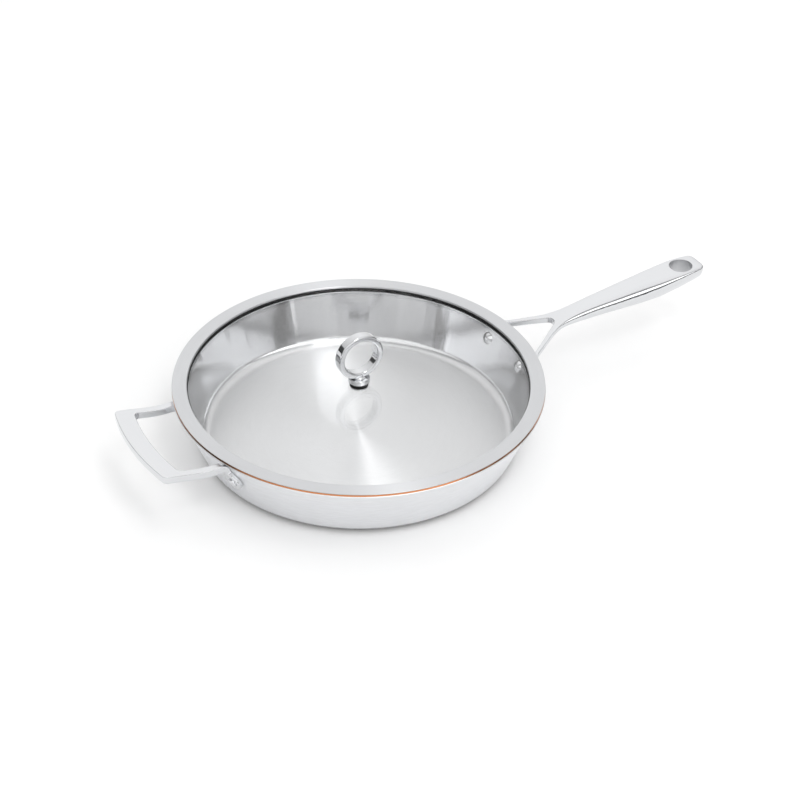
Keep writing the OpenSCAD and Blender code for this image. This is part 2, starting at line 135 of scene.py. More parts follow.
world = bpy.data.worlds.new("room")
bpy.context.scene.world = world
tree, out = blank(world)
way = add(tree, "TexCoord").outputs["Generated"]
front = add(tree, "VectorMath", {0: way, 1: TO_CAMERA}, operation="DOT_PRODUCT").outputs["Value"]
right = add(tree, "VectorMath", {0: way, 1: TO_RIGHT}, operation="DOT_PRODUCT").outputs["Value"]
height = add(tree, "SeparateXYZ", {0: way}).outputs["Z"]
behind = add(tree, "Math", {0: front, 1: -1.0}, operation="MULTIPLY").outputs[0]
above = add(tree, "Math", {0: height, 1: 0.0}, operation="MAXIMUM").outputs[0]
turn = add(tree, "Math", {0: above, 1: behind}, operation="ARCTAN2").outputs[0]
turn = add(tree, "MapRange", {"Value": turn, "From Max": math.pi}).outputs[0]
around = add(tree, "Math", {0: right, 1: front}, operation="ARCTAN2").outputs[0]
around = add(tree, "MapRange", {"Value": around, "From Min": -math.pi, "From Max": math.pi}).outputs[0]
over = add(tree, "ValToRGB", {0: turn})
fill_ramp(over.color_ramp, ROOM, 0, 180)
sides = add(tree, "ValToRGB", {0: around})
fill_ramp(sides.color_ramp, SIDES, -180, 180)
flats = add(tree, "ValToRGB", {0: around})
flats.color_ramp.interpolation = "CONSTANT"
fill_ramp(flats.color_ramp, FLATS, -180, 180)
steep = add(tree, "Math", {0: height, 1: height}, operation="MULTIPLY").outputs[0]
share = add(tree, "Mix", {0: steep, 2: sides.outputs[0], 3: OVERHEAD}).outputs[0]
clear = add(tree, "MapRange", {"Value": height, "From Min": FLATS_TOP,
                               "From Max": FLATS_TOP + FLATS_FADE})
share = add(tree, "Mix", {0: clear.outputs[0], 2: flats.outputs[0], 3: share}).outputs[0]
room = add(tree, "Background", {"Color": over.outputs[0], "Strength": share})
white = add(tree, "Background", {"Color": (1, 1, 1, 1), "Strength": 1})
seen = add(tree, "LightPath").outputs["Is Camera Ray"]
shown = add(tree, "MixShader", {0: seen, 1: room.outputs[0], 2: white.outputs[0]})
tree.links.new(shown.outputs[0], out.inputs["Surface"])

# Softboxes, one high beside the camera and one nearly overhead: place, side in metres, and watts
SOFTBOXES = {"front_softbox": ((0.04, -0.99, 1.74), 0.5, 4.0),
             "overhead_softbox": ((0.16, -0.45, 1.79), 0.4, 1.5)}
for name, (place, width, watts) in SOFTBOXES.items():
    lamp = bpy.data.objects.new(name, bpy.data.lights.new(name, "AREA"))
    lamp.data.size, lamp.data.energy = width, watts
    lamp.location = place
    lamp.rotation_euler = (-Vector(place)).to_track_quat("-Z", "Y").to_euler()
    bpy.context.scene.collection.objects.link(lamp)

# Outer skin: the outside of the pan, stainless steel of the 18/10 kind. It is rolled together with
# the copper core and the inner skin, and the three are pressed to shape as one sheet, with a flat
# base, a leaning wall and a short flared lip. The cut edge of the lip is then turned clean.
MM = 0.001
PAN_R, PAN_H = 150, 54.1
WALL_LEAN = 22
CORNER_R, LIP_R, LIP_FLAT = 12, 2, 0.5
SKIN_T, CORE_T, LINER_T = 0.6, 1.2, 0.4
WALL_T = SKIN_T + CORE_T + LINER_T
PAN_STEPS, CORNER_STEPS, LIP_STEPS, CUT_STEPS = 256, 14, 12, 3
# The rounding of the cut edge, and how far that edge leans in from the wall's outside to its inside
CUT_EDGE_R, LIP_CONE = 0.15, 1.4
# The angle in degrees past which an edge stays sharp, and the distance in mm at which points merge
SHARP, DOUBLES = 35, 0.001

LEAN = math.radians(WALL_LEAN)
LIP_C = (PAN_R - LIP_FLAT, PAN_H - WALL_T - LIP_R)
WALL_TOP = (LIP_C[0] - LIP_R * math.cos(LEAN), LIP_C[1] + LIP_R * math.sin(LEAN))
CORNER_RUN = (CORNER_R + (WALL_TOP[1] - CORNER_R) * math.sin(LEAN)) / math.cos(LEAN)
CORNER_C = (WALL_TOP[0] - CORNER_RUN, CORNER_R)


def arc(centre, radius, start, end, steps):
    """Points of an arc seen in section, from angle start to end in degrees."""
    turns = [math.radians(start + (end - start) * i / steps) for i in range(steps + 1)]
    return [(centre[0] + radius * math.cos(t), centre[1] + radius * math.sin(t)) for t in turns]


def smooth(piece):
    """Smooth shading, with edges of more than SHARP degrees kept and flats that stay flat."""
    bpy.ops.object.select_all(action="DESELECT")
    piece.select_set(True)
    bpy.context.view_layer.objects.active = piece
    bpy.ops.object.shade_smooth_by_angle(angle=math.radians(SHARP))
    bpy.ops.object.modifier_add(type="WEIGHTED_NORMAL")
    piece.modifiers[-1].keep_sharp = True
    bpy.ops.object.modifier_apply(modifier=piece.modifiers[-1].name)


def turned(name, section, steps=PAN_STEPS):
    """Turns a section of (radius, height) points in mm round the Z axis, ring after ring. Where it
    doesn't reach the axis at either end, it is closed on itself."""
    disc = section[0][0] == 0
    rings = section[1:] if disc else [*section, section[0]]
    last = rings.pop() if rings[-1][0] == 0 else None
    bpy.ops.object.select_all(action="DESELECT")
    bpy.ops.mesh.primitive_circle_add(vertices=steps, radius=rings[0][0] * MM,
                                      location=(0, 0, rings[0][1] * MM),
                                      fill_type="TRIFAN" if disc else "NOTHING")
    bpy.ops.object.transform_apply(location=True)
    piece = bpy.context.object
    piece.name = piece.data.name = name
    bpy.ops.object.mode_set(mode="EDIT")
    bpy.ops.mesh.select_mode(type="EDGE")
    bpy.ops.mesh.select_all(action="DESELECT")
    bpy.ops.mesh.select_non_manifold(use_multi_face=False, use_non_contiguous=False, use_verts=False)
    for (r0, z0), (r1, z1) in zip(rings, rings[1:]):
        bpy.ops.mesh.extrude_edges_move(TRANSFORM_OT_translate={"value": (0, 0, (z1 - z0) * MM)})
        bpy.ops.transform.resize(value=(r1 / r0, r1 / r0, 1), center_override=(0, 0, 0))
    if last:
        rise_to_axis = (0, 0, (last[1] - rings[-1][1]) * MM)
        bpy.ops.mesh.extrude_edges_move(TRANSFORM_OT_translate={"value": rise_to_axis})
        bpy.ops.mesh.merge(type="CENTER")
    bpy.ops.mesh.select_mode(type="VERT")
    bpy.ops.mesh.select_all(action="SELECT")
    bpy.ops.mesh.remove_doubles(threshold=DOUBLES * MM)
    bpy.ops.mesh.normals_make_consistent(inside=False)
    bpy.ops.object.mode_set(mode="OBJECT")
    smooth(piece)
    return piece


def pan_side(depth):
    """The pan's section from axis to lip, at a depth below its outer face."""
    end_r = PAN_R - LIP_CONE * depth / WALL_T
    return [(0, depth), *arc(CORNER_C, CORNER_R - depth, -90, -WALL_LEAN, CORNER_STEPS),
            *arc(LIP_C, LIP_R + depth, 180 - WALL_LEAN, 90, LIP_STEPS)[:-1],
            (end_r, PAN_H - WALL_T + depth)]


def skin(name, depth0, depth1, low_edge=0, high_edge=0):
    """One skin of the pan between two depths, with a rounded cut edge where it is free."""
    low, high = pan_side(depth0), pan_side(depth1)[::-1]
    if low_edge:
        low[-1:] = arc((low[-1][0] - low_edge, low[-1][1] + low_edge), low_edge, -90, 0, CUT_STEPS)
    if high_edge:
        high[:1] = arc((high[0][0] - high_edge, high[0][1] - high_edge), high_edge, 0, 90, CUT_STEPS)
    return turned(name, low + high)


# Fine lines come from noise: the part of its range that they use, its layers, how much each finer
# layer counts, and the layers of the slow waves that pressing leaves. A quarter turn lays the
# stretch of a highlight across the lines.
LINES_LOW, LINES_HIGH, LINES_DETAIL, LINES_FADE, WAVES_DETAIL = 0.3, 0.7, 3.0, 0.6, 1.5
QUARTER_TURN = 0.25


def polar(tree):
    """Sockets of a point's direction round the pan's axis as x and y, its radius and its height."""
    x, y, z = add(tree, "SeparateXYZ", {0: add(tree, "TexCoord").outputs["Object"]}).outputs
    flat = add(tree, "CombineXYZ", {0: x, 1: y}).outputs[0]
    radius = add(tree, "VectorMath", {0: flat}, operation="LENGTH").outputs["Value"]
    way = add(tree, "VectorMath", {0: flat}, operation="NORMALIZE").outputs[0]
    way_x, way_y, _ = add(tree, "SeparateXYZ", {0: way}).outputs
    return way_x, way_y, radius, z


def steel_shader(tree, colour, roughness, change, spacing, stretch, depth, grain="round",
                 anisotropic=0.0, shade=0.0, waves=None, dull=None):
    """Metal with fine lines, spacing mm apart and depth mm deep, with which its colour darkens by a
    share, shade, and its roughness varies by change. Grain is round, and a line as long as the
    radius divided by stretch, or an axis, and a line as long as the spacing times stretch. Waves are
    mm round the pan, mm up its wall and mm of height. The last argument is a painted shade near the
    base: two heights in mm and a share, with the colour darkened to that share below the first
    height and not at all above the second."""
    way_x, way_y, radius, height = polar(tree)
    fine = 1 / (spacing * MM)
    settings = {"Scale": 1.0, "Detail": LINES_DETAIL, "Roughness": LINES_FADE}
    if grain == "round":
        place = add(tree, "CombineXYZ", {0: way_x, 1: way_y, 2: radius}).outputs[0]
        scale, kind = (stretch, stretch, fine), "4D"
        settings["W"] = add(tree, "Math", {0: height, 1: fine}, operation="MULTIPLY").outputs[0]
    else:
        place = add(tree, "TexCoord").outputs["Object"]
        scale, kind = [fine / stretch if axis == grain else fine for axis in "XYZ"], "3D"
    drawn = add(tree, "VectorMath", {0: place, 1: scale}, operation="MULTIPLY").outputs[0]
    lines = add(tree, "TexNoise", {"Vector": drawn, **settings}, noise_dimensions=kind).outputs[0]
    used = {"Value": lines, "From Min": LINES_LOW, "From Max": LINES_HIGH}
    rough = add(tree, "MapRange", {**used, "To Min": roughness - change,
                                   "To Max": roughness + change}).outputs[0]
    bump = add(tree, "Bump", {"Strength": 1.0, "Distance": depth * MM, "Height": lines})
    if waves:
        along_wall, up_wall, swell = waves
        place = add(tree, "CombineXYZ", {0: way_x, 1: way_y, 2: height}).outputs[0]
        scale = (PAN_R / along_wall, PAN_R / along_wall, 1 / (up_wall * MM))
        place = add(tree, "VectorMath", {0: place, 1: scale}, operation="MULTIPLY").outputs[0]
        slow = add(tree, "TexNoise", {"Vector": place, "Scale": 1.0, "Detail": WAVES_DETAIL}).outputs[0]
        slow = add(tree, "Bump", {"Strength": 1.0, "Distance": swell * MM, "Height": slow}).outputs[0]
        tree.links.new(slow, bump.inputs["Normal"])
    dark = [c * (1 - shade) for c in linear(colour)[:3]] + [1]
    light = add(tree, "MapRange", used).outputs[0]
    tone = add(tree, "Mix", {0: light, 6: dark, 7: linear(colour)}, data_type="RGBA").outputs[2]
    # Painted shade: the colour darkens towards the base, where the pan stands on the floor
    if dull:
        low, high, share = dull
        left = add(tree, "MapRange", {"Value": height, "From Min": low * MM, "From Max": high * MM,
                                      "To Min": share, "To Max": 1.0}).outputs[0]
        tone = add(tree, "VectorMath", {0: tone, "Scale": left}, operation="SCALE").outputs[0]
    shader = add(tree, "BsdfPrincipled", {"Base Color": tone, "Metallic": 1.0, "Roughness": rough,
                                          "Normal": bump.outputs[0], "Anisotropic": anisotropic})
    if anisotropic:
        shader.inputs["Anisotropic Rotation"].default_value = QUARTER_TURN
        tangent = add(tree, "Tangent", direction_type="RADIAL", axis="Z")
        tree.links.new(tangent.outputs[0], shader.inputs["Tangent"])
    return shader.outputs[0]


def metal(name, colour, **finish):
    """A material of that metal all over."""
    material = bpy.data.materials.new(name)
    tree, out = blank(material)
    tree.links.new(steel_shader(tree, colour, **finish), out.inputs["Surface"])
    return material


def dress(piece, material, body, slot, *nodes):
    """Gives a piece its material and body, and hides the CAD nodes that it stands for. Slot is
    not used.
    """
    piece.data.materials.clear()
    piece.data.materials.append(material)
    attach(piece, body)
    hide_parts(*nodes)


outer = skin("pan_outer_skin", 0, SKIN_T, low_edge=CUT_EDGE_R)

# Brushed round the wall with a belt: level lines, which draw each highlight out upright and make
# the wall look soft. The lines are finer in reality, and are drawn 0.9 mm apart so that they show.
# Painted shade darkens the colour towards the lowest edge of the base, where the pan meets the floor.
wall_steel = metal("brushed_stainless_wall", "#F0F1F3", roughness=0.34, change=0.05, spacing=0.9,
                   stretch=14, depth=0.03, anisotropic=0.6, shade=0.1, dull=(3, 6, 0.04))
dress(outer, wall_steel, "pan", "outer_steel", "outer_skin")

# Copper core: a sheet of pure copper between the two steel skins, bonded to them over its whole
# face by rolling. It spreads the heat, and shows only as a thin line in the cut edge of the lip.
core = skin("pan_copper_core", SKIN_T, SKIN_T + CORE_T)

# Turned on a lathe with the lip's edge: smooth and bright, with a warm, nearly mirror-like gleam
copper = metal("turned_copper", "#BE835D", roughness=0.18, change=0.03, spacing=0.3, stretch=6,
               depth=0.005)
dress(core, copper, "pan", "copper", "copper_core")

# Inner skin: the cooking surface, a thin sheet of stainless steel bonded to the core. Its floor is
# turned on a lathe up to the corner, and its wall is polished.
inner = skin("pan_inner_skin", SKIN_T + CORE_T, WALL_T, high_edge=CUT_EDGE_R)

# The floor's fine round lines fan the light out in soft rays from the middle. They are drawn 0.9 mm
# apart, coarser than real ones, so that they show. The wall mirrors the room in upright streaks, a
# little wavy from the press.
TURNED_R, POLISHED_R = 119, 130
inside_steel = bpy.data.materials.new("turned_and_polished_stainless")
tree, out = blank(inside_steel)
turned_floor = steel_shader(tree, "#ECEDEE", roughness=0.42, change=0.03, spacing=0.9, stretch=10,
                            depth=0.012, anisotropic=0.9, shade=0.06)
polished_wall = steel_shader(tree, "#D6D7D9", roughness=0.07, change=0.015, spacing=0.9, stretch=8,
                             depth=0.001, anisotropic=1.0, waves=(24, 140, 0.45))
outward = add(tree, "MapRange", {"Value": polar(tree)[2], "From Min": TURNED_R * MM,
                                 "From Max": POLISHED_R * MM}, interpolation_type="SMOOTHSTEP")
both = add(tree, "MixShader", {0: outward.outputs[0], 1: turned_floor, 2: polished_wall})
tree.links.new(both.outputs[0], out.inputs["Surface"])
dress(inner, inside_steel, "pan", "inner_steel", "inner_skin")

# Long handle: one solid casting of stainless steel, riveted to the wall by its two feet. Two legs
# come together to a slim shank, which swells to a grip with round shoulders and a round belly, and
# ends in a hanging hole.
HANDLE_LEN, FORK_START, FORK_LEN = 184, 2, 35.7
HANDLE_START_Z, HANDLE_END_Z = 46.8, 69.9
GRIP_R, GRIP_H, FORK_R, FORK_H, FORK_LEG_W = 14.5, 18.6, 29.4, 5, 4.4
SHOULDER_R, EDGE_R, TIP_R, BELLY_WIDTH = 7.3, 0.8, 5, 0.74
APEX_R, HANG_R, HANG_INSET = 6, 9.8, 18.2
# Places from the start of the fork to the tip, as shares of that length, and what the handle has
# there: half its width (up to 1 a share of the grip's, from 1 to 2 on to the fork's), and shares of
# its depth, round shoulders and round belly. Its top rises by RISES in equal steps.
PLACES = [0, 0.02, 0.14, 0.18, 0.21, 0.25, 0.3, 0.35, 0.44, 0.53, 0.64, 0.75, 0.86, 0.93, 1]
WIDTHS = [2, 1.82, 0.98, 0.78, 0.69, 0.65, 0.66, 0.69, 0.76, 0.85, 0.94, 0.99, 0.98, 0.91, 0.78]
DEPTHS = [0, 0, 0, 0.03, 0.08, 0.21, 0.36, 0.5, 0.63, 0.76, 0.92, 1, 0.85, 0.72, 0.55]
SHOULDERS = [0, 0, 0, 0.1, 0.25, 0.45, 0.6, 0.66, 0.75, 0.86, 1, 0.79, 0.47, 0.3, 0.2]
BELLIES = [0, 0, 0.1, 0.25, 0.4, 0.6, 0.8, 0.9, 0.94, 0.94, 0.94, 0.94, 0.94, 0.94, 0.94]
RISES = [0, 0.21, 0.435, 0.6, 0.715, 0.83, 0.91, 0.98, 1]
HALF_WIDTHS = [GRIP_R * w if w <= 1 else GRIP_R + (FORK_R - GRIP_R) * (w - 1) for w in WIDTHS]
BODY_X, TIP_X = PAN_R + FORK_START, PAN_R + HANDLE_LEN
APEX_X, OPENING_Y = PAN_R + FORK_LEN - APEX_R, FORK_R - FORK_LEG_W
HOLE_X = TIP_X - HANG_INSET
RING_STEP, TIP_RINGS, BLEND_REACH, BLEND_STEPS = 1.5, 12, 4, 4
SHOULDER_STEPS, BELLY_STEPS, APEX_STEPS, HANG_STEPS = 12, 16, 32, 128
# How far the fork's cutter goes in past the rim, its low and high end, the length of the hole's
# cutter, and how far the feet reach into the legs
CUT_IN, CUT_LOW, CUT_HIGH, CUT_DEPTH, FEET_LAP = 10, 20, 100, 100, 5
HANDLE_VOXEL, EASE, EASE_ROUNDS = 0.48, 0.5, 4


def lookup(t, table):
    """Value of a table of shares at a place between 0 and 1 along the handle."""
    for (t0, v0), (t1, v1) in zip(zip(PLACES, table), zip(PLACES[1:], table[1:])):
        if t <= t1:
            return v0 + (v1 - v0) * max(0, t - t0) / (t1 - t0)
    return table[-1]


def along(x, table):
    """The same at x mm, with the table's corners eased over a few millimetres."""
    total = weight_sum = 0
    for k in range(-BLEND_STEPS, BLEND_STEPS + 1):
        weight = BLEND_STEPS + 1 - abs(k)
        total += weight * lookup((x + k * BLEND_REACH / BLEND_STEPS - BODY_X) / (TIP_X - BODY_X), table)
        weight_sum += weight
    return total / weight_sum


def rise(x):
    """Height of the handle's top at x, on a smooth curve through equal steps."""
    n = len(RISES) - 1
    t = (x - BODY_X) / (TIP_X - BODY_X) * n
    i = max(0, min(n - 1, int(t)))
    u = t - i
    a, b, c, d = RISES[max(0, i - 1)], RISES[i], RISES[i + 1], RISES[min(n, i + 2)]
    share = b + u * ((c - a) + u * ((2 * a - 5 * b + 4 * c - d) + u * (3 * b - a - 3 * c + d))) / 2
    return HANDLE_START_Z + (HANDLE_END_Z - HANDLE_START_Z) * share


def handle_ring(x, inset):
    """Points of the handle's section at x: round shoulders, upright sides and a round belly."""
    half = along(x, HALF_WIDTHS) - inset
    top = rise(x) - inset * EDGE_R / TIP_R
    bottom = rise(x) - FORK_H - (GRIP_H - FORK_H) * along(x, DEPTHS) + inset
    shoulder = EDGE_R + (SHOULDER_R - EDGE_R) * along(x, SHOULDERS)
    belly = along(x, BELLIES)
    belly_w = EDGE_R + (BELLY_WIDTH * half - EDGE_R) * belly
    belly_h = EDGE_R + (top - bottom - shoulder - EDGE_R) * belly
    right = arc((half - shoulder, top - shoulder), shoulder, 90, 0, SHOULDER_STEPS)
    turns = [math.radians(90 * i / BELLY_STEPS) for i in range(BELLY_STEPS + 1)]
    right += [(half - belly_w * (1 - math.cos(t)), bottom + belly_h * (1 - math.sin(t))) for t in turns]
    return [(x, y, z) for y, z in right] + [(x, -y, z) for y, z in right[::-1]]


def loft(name, rings):
    """Extrudes a ring of edges from section to section, sets each section's points, and fills the
    two ends."""
    bpy.ops.object.select_all(action="DESELECT")
    bpy.ops.mesh.primitive_circle_add(vertices=len(rings[0]), radius=MM)
    piece = bpy.context.object
    piece.name = piece.data.name = name
    bpy.ops.object.mode_set(mode="EDIT")
    bpy.ops.mesh.select_all(action="SELECT")
    for _ in rings[1:]:
        bpy.ops.mesh.extrude_edges_move(TRANSFORM_OT_translate={"value": (0, 0, MM)})
    bpy.ops.object.mode_set(mode="OBJECT")
    points = [p for ring in rings for p in ring]
    for vertex, point in zip(piece.data.vertices, points):
        vertex.co = Vector(point) * MM
    bpy.ops.object.mode_set(mode="EDIT")
    bpy.ops.mesh.select_all(action="DESELECT")
    bpy.ops.mesh.select_non_manifold(use_multi_face=False, use_non_contiguous=False, use_verts=False)
    bpy.ops.mesh.edge_face_add()
    bpy.ops.mesh.select_all(action="SELECT")
    bpy.ops.mesh.normals_make_consistent(inside=False)
    bpy.ops.object.mode_set(mode="OBJECT")
    return piece


def cut(piece, tool, operation="DIFFERENCE"):
    """Cuts the tool out of a piece, or joins it on, and takes the tool away."""
    bpy.ops.object.select_all(action="DESELECT")
    bpy.context.view_layer.objects.active = piece
    bpy.ops.object.modifier_add(type="BOOLEAN")
    modifier = piece.modifiers[-1]
    modifier.operation, modifier.solver, modifier.object = operation, "EXACT", tool
    bpy.ops.object.modifier_apply(modifier=modifier.name)
    bpy.data.objects.remove(tool)


def cad_copy(node, name):
    """A copy of a CAD node's mesh, with its loose triangles merged."""
    piece = bpy.data.objects.new(name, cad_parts[node].data.copy())
    bpy.context.scene.collection.objects.link(piece)
    bpy.ops.object.select_all(action="DESELECT")
    piece.select_set(True)
    bpy.context.view_layer.objects.active = piece
    bpy.ops.object.mode_set(mode="EDIT")
    bpy.ops.mesh.select_all(action="SELECT")
    bpy.ops.mesh.remove_doubles(threshold=DOUBLES * MM)
    bpy.ops.mesh.customdata_custom_splitnormals_clear()
    bpy.ops.object.mode_set(mode="OBJECT")
    return piece


def cast_skin(piece, voxel):
    """One closed skin over all that a casting was put together from, with its edges eased."""
    bpy.ops.object.select_all(action="DESELECT")
    piece.select_set(True)
    bpy.context.view_layer.objects.active = piece
    bpy.ops.object.modifier_add(type="REMESH")
    skin_over = piece.modifiers[-1]
    skin_over.mode, skin_over.voxel_size = "VOXEL", voxel * MM
    bpy.ops.object.modifier_apply(modifier=skin_over.name)
    bpy.ops.object.modifier_add(type="SMOOTH")
    ease = piece.modifiers[-1]
    ease.factor, ease.iterations = EASE, EASE_ROUNDS
    bpy.ops.object.modifier_apply(modifier=ease.name)
    bpy.ops.object.shade_smooth()


body_rings = int((TIP_X - TIP_R - BODY_X) / RING_STEP)
handle_rings = []
for i in range(body_rings + 1):
    handle_rings.append(handle_ring(BODY_X + (TIP_X - TIP_R - BODY_X) * i / body_rings, 0))
for i in range(1, TIP_RINGS + 1):
    turn = math.radians(90 * i / TIP_RINGS)
    tip_x = TIP_X - TIP_R + TIP_R * math.sin(turn)
    handle_rings.append(handle_ring(tip_x, TIP_R * (1 - math.cos(turn))))
handle = loft("long_handle_casting", handle_rings)

run = APEX_X - BODY_X
slope = math.degrees(math.atan2(OPENING_Y, run) - math.asin(APEX_R / math.hypot(OPENING_Y, run)))
opening = [(PAN_R - CUT_IN, OPENING_Y), (BODY_X, OPENING_Y),
           *arc((APEX_X, 0), APEX_R, 90 - slope, slope - 90, APEX_STEPS),
           (BODY_X, -OPENING_Y), (PAN_R - CUT_IN, -OPENING_Y)]
cut(handle, loft("fork_opening", [[(x, y, z) for x, y in opening] for z in (CUT_LOW, CUT_HIGH)]))
bpy.ops.object.select_all(action="DESELECT")
bpy.ops.mesh.primitive_cylinder_add(vertices=HANG_STEPS, radius=HANG_R * MM, depth=CUT_DEPTH * MM,
                                    location=(HOLE_X * MM, 0, HANDLE_END_Z * MM))
cut(handle, bpy.context.object)
feet = cad_copy("long_handle", "long_handle_feet")
bpy.ops.object.mode_set(mode="EDIT")
bpy.ops.mesh.select_all(action="SELECT")
bpy.ops.mesh.bisect(plane_co=((BODY_X + FEET_LAP) * MM, 0, 0), plane_no=(1, 0, 0), use_fill=True,
                    clear_outer=True)
bpy.ops.object.mode_set(mode="OBJECT")
feet.select_set(True)
handle.select_set(True)
bpy.context.view_layer.objects.active = handle
bpy.ops.object.join()
cast_skin(handle, HANDLE_VOXEL)

# Cast stainless steel. The top is brushed satin along the handle and looks soft and pale, with lines
# drawn 0.6 mm apart, coarser than real ones, so that they show. Sides, shoulders and belly are
# polished and carry a white streak between thin dark lines. Underneath and in the hanging hole the
# steel is rougher, as it was cast, and a painted shade darkens its colour there.
CAST_TONE, CAST_SATIN, SATIN_CHANGE = "#DCDDDF", 0.36, 0.06
CAST_LINES, CAST_STRETCH, CAST_DEPTH, POLISHED_LINES = 0.6, 10, 0.012, 0.06
# Painted shade: a darker tone underneath and in the hanging hole, where the cast steel is also rougher
PAINTED_SHADE_TONE, RAW_ROUGH, UNDERSIDE_FROM, UNDERSIDE_TO, HOLE_FROM, HOLE_TO = "#C8C9CB", 0.45, -0.75, -0.95, 0.7, 0.2


def cast_steel(name, grain, polish, satin_from, satin_to, hole=None):
    """Cast steel with its lines along an axis, grain, and the roughness polish on its sides. It
    turns to satin where a face's normal rises from satin_from to satin_to. Hole is a hole's x and
    radius in mm."""
    material = bpy.data.materials.new(name)
    tree, out = blank(material)
    coordinates = add(tree, "TexCoord").outputs
    up = add(tree, "SeparateXYZ", {0: coordinates["Normal"]}).outputs["Z"]
    top = add(tree, "MapRange", {"Value": up, "From Min": satin_from, "From Max": satin_to},
              interpolation_type="SMOOTHSTEP").outputs[0]
    rough_and_shaded = add(tree, "MapRange", {"Value": up, "From Min": UNDERSIDE_FROM, "From Max": UNDERSIDE_TO},
              interpolation_type="SMOOTHSTEP").outputs[0]
    if hole:
        hole_x, hole_r = hole
        centre = (hole_x * MM, 0, 0)
        way = add(tree, "VectorMath", {0: coordinates["Object"], 1: centre}, operation="SUBTRACT")
        way = add(tree, "VectorMath", {0: way.outputs[0], 1: (1, 1, 0)}, operation="MULTIPLY")
        radius = add(tree, "VectorMath", {0: way.outputs[0]}, operation="LENGTH").outputs["Value"]
        inside = add(tree, "MapRange", {"Value": radius, "From Min": (hole_r + HOLE_FROM) * MM,
                                        "From Max": (hole_r + HOLE_TO) * MM}).outputs[0]
        rough_and_shaded = add(tree, "Math", {0: rough_and_shaded, 1: inside}, operation="MAXIMUM").outputs[0]
    scale = [1 / (CAST_LINES * MM * (CAST_STRETCH if axis == grain else 1)) for axis in "XYZ"]
    drawn = add(tree, "VectorMath", {0: coordinates["Object"], 1: scale}, operation="MULTIPLY").outputs[0]
    lines = add(tree, "TexNoise", {"Vector": drawn, "Scale": 1.0, "Detail": LINES_DETAIL}).outputs[0]
    brushed = add(tree, "MapRange", {"Value": lines, "To Min": CAST_SATIN - SATIN_CHANGE,
                                     "To Max": CAST_SATIN + SATIN_CHANGE}).outputs[0]
    rough = add(tree, "Mix", {0: top, 2: polish, 3: brushed}).outputs[0]
    rough = add(tree, "Mix", {0: rough_and_shaded, 2: rough, 3: RAW_ROUGH}).outputs[0]
    strength = add(tree, "MapRange", {"Value": top, "To Min": POLISHED_LINES, "To Max": 1.0}).outputs[0]
    bump = add(tree, "Bump", {"Strength": strength, "Distance": CAST_DEPTH * MM, "Height": lines})
    # Painted shade darkens the colour on faces that point down and inside the hanging hole
    tone = add(tree, "Mix", {0: rough_and_shaded, 6: linear(CAST_TONE), 7: linear(PAINTED_SHADE_TONE)}, data_type="RGBA")
    shader = add(tree, "BsdfPrincipled", {"Base Color": tone.outputs[2], "Metallic": 1.0,
                                          "Roughness": rough, "Normal": bump.outputs[0]})
    tree.links.new(shader.outputs[0], out.inputs["Surface"])
    return material


handle_steel = cast_steel("satin_cast_stainless", "X", polish=0.13, satin_from=0.8, satin_to=0.97,
                          hole=(HOLE_X, HANG_R))
dress(handle, handle_steel, "pan", "handle_steel", "long_handle")

# Rivets of the long handle: two of stainless steel, put through wall and foot from inside the pan,
# where their domed heads stay, and closed with low heads on the feet. All four rivets are alike, so
# one is modelled, and every rivet is a copy of it with its own mesh.
RIVET_D, HEAD_D, HEAD_H, TAIL_D, TAIL_H, FOOT_T, GAP = 5, 10.5, 2.2, 8, 1.4, 3.6, 0.05
DOME_SHARE = 0.75
RIVET_Z, RIVET_IN = 33.5, 3.2
RIVET_STEPS, HEAD_STEPS, TAIL_STEPS = 64, 12, 8
# The wall's outside at the rivets' height, how far in from there the head seats on the round wall,
# the radius of the ball that the head is a cap of, and half the angle of that cap
WALL_AT_RIVET = WALL_TOP[0] + (RIVET_Z - WALL_TOP[1]) * math.tan(LEAN)
SEAT = WALL_T + (HEAD_D / 2) ** 2 / (2 * WALL_AT_RIVET) + GAP
BALL = ((HEAD_D / 2) ** 2 + HEAD_H ** 2) / (2 * HEAD_H)
HEAD_HALF = math.degrees(math.asin(HEAD_D / 2 / BALL))
TAIL_START, TAIL_EDGE = GAP + FOOT_T, DOME_SHARE * TAIL_H

rivet = turned("rivet", [
    (0, -SEAT - HEAD_H), *arc((0, BALL - SEAT - HEAD_H), BALL, -90, HEAD_HALF - 90, HEAD_STEPS)[1:],
    (RIVET_D / 2, -SEAT), (RIVET_D / 2, TAIL_START), (TAIL_D / 2, TAIL_START),
    *arc((TAIL_D / 2 - TAIL_EDGE, TAIL_START + TAIL_H - TAIL_EDGE), TAIL_EDGE, 0, 90, TAIL_STEPS),
    (0, TAIL_START + TAIL_H)], steps=RIVET_STEPS)


def rivet_pair(name, middle, side_y):
    """Two copies of the rivet through the wall, at that distance to both sides of a handle's middle."""
    angle = math.asin(side_y / WALL_AT_RIVET)
    pair = []
    for turn in (middle - angle, middle + angle):
        piece = bpy.data.objects.new(name, rivet.data.copy())
        bpy.context.scene.collection.objects.link(piece)
        piece.matrix_world = (Matrix.Rotation(turn, 4, "Z")
                              @ Matrix.Translation((WALL_AT_RIVET * MM, 0, RIVET_Z * MM))
                              @ Matrix.Rotation(math.pi / 2 + LEAN, 4, "Y"))
        pair.append(piece)
    bpy.ops.object.select_all(action="DESELECT")
    for piece in pair:
        piece.select_set(True)
    bpy.context.view_layer.objects.active = pair[0]
    bpy.ops.object.transform_apply(location=True, rotation=True, scale=True)
    bpy.ops.object.join()
    return pair[0]


handle_rivets = rivet_pair("long_handle_rivet_pair", 0, FORK_R - FORK_LEG_W / 2 - RIVET_IN)

